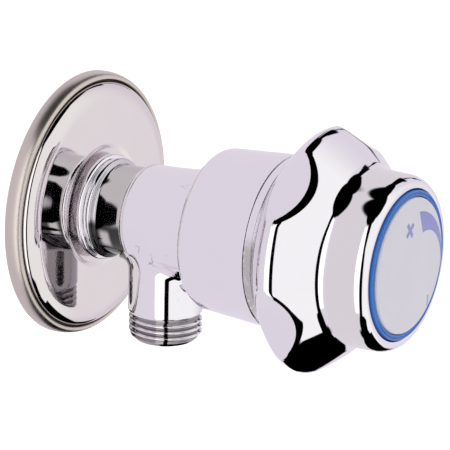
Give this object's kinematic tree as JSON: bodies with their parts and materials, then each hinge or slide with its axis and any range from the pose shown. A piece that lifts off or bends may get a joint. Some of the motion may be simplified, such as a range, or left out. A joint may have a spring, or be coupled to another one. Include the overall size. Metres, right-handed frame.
{
  "type": "angle stop valve",
  "caption": "Wall angle stop valve: round wall flange, threaded inlet and down outlet, bell shaped bonnet cover and a lobed turning handle with a blue ringed index disc.",
  "frame": {"origin": "on the valve axis in the wall plane, which is the back edge of the wall flange", "axes": "-Y along the valve axis from the wall to the handle, -Z down along the outlet, +X to the right when facing the wall"},
  "size_m": [0.076, 0.1182, 0.076],
  "materials": {
    "polished_chrome": "mirror polished chrome plate on brass",
    "flange_chrome": "chrome plated pressed sheet, satin outer lip and polished face",
    "machined_brass": "machined brass, bare",
    "spring_steel": "bare spring steel and zinc plated screw",
    "black_rubber": "matt nitrile rubber",
    "red_fibre": "pressed fibre gasket",
    "white_nylon": "moulded nylon",
    "blue_plastic": "glossy blue moulded plastic",
    "pale_plastic": "smooth pale grey moulded plastic with blue-violet printed marks"
  },
  "bodies": {
    "fixed": {"wall_flange": "flange_chrome", "valve_body": "polished_chrome", "bonnet_seal": "red_fibre", "headwork_bonnet": "machined_brass", "bonnet_cover": "polished_chrome", "cover_o_ring": "black_rubber", "cover_nut": "machined_brass"},
    "handle": {"spindle": "machined_brass", "friction_washer": "white_nylon", "spindle_circlip": "spring_steel", "spindle_o_ring_1": "black_rubber", "spindle_o_ring_2": "black_rubber", "handle": "polished_chrome", "handle_insert": "white_nylon", "handle_screw": "spring_steel", "screw_washer": "spring_steel", "index_ring": "blue_plastic", "index_disc": "pale_plastic"},
    "plunger": {"plunger": "machined_brass", "seat_washer": "black_rubber", "washer_retainer": "machined_brass", "washer_screw": "machined_brass"}
  },
  "joints": [
    {"name": "handle_turn", "type": "hinge", "parent": "fixed", "child": "handle", "pos_m": [0, -0.0866, 0], "axis": [0, -1, 0], "range_deg": [0, 810]},
    {"name": "plunger_slide", "type": "slide", "parent": "fixed", "child": "plunger", "axis": [0, -1, 0], "range_m": [0, 0.0045]}
  ],
  "couplings": [
    {"joint": "plunger_slide", "follows": "handle_turn", "m_per_rad": 0.00031831}
  ]
}
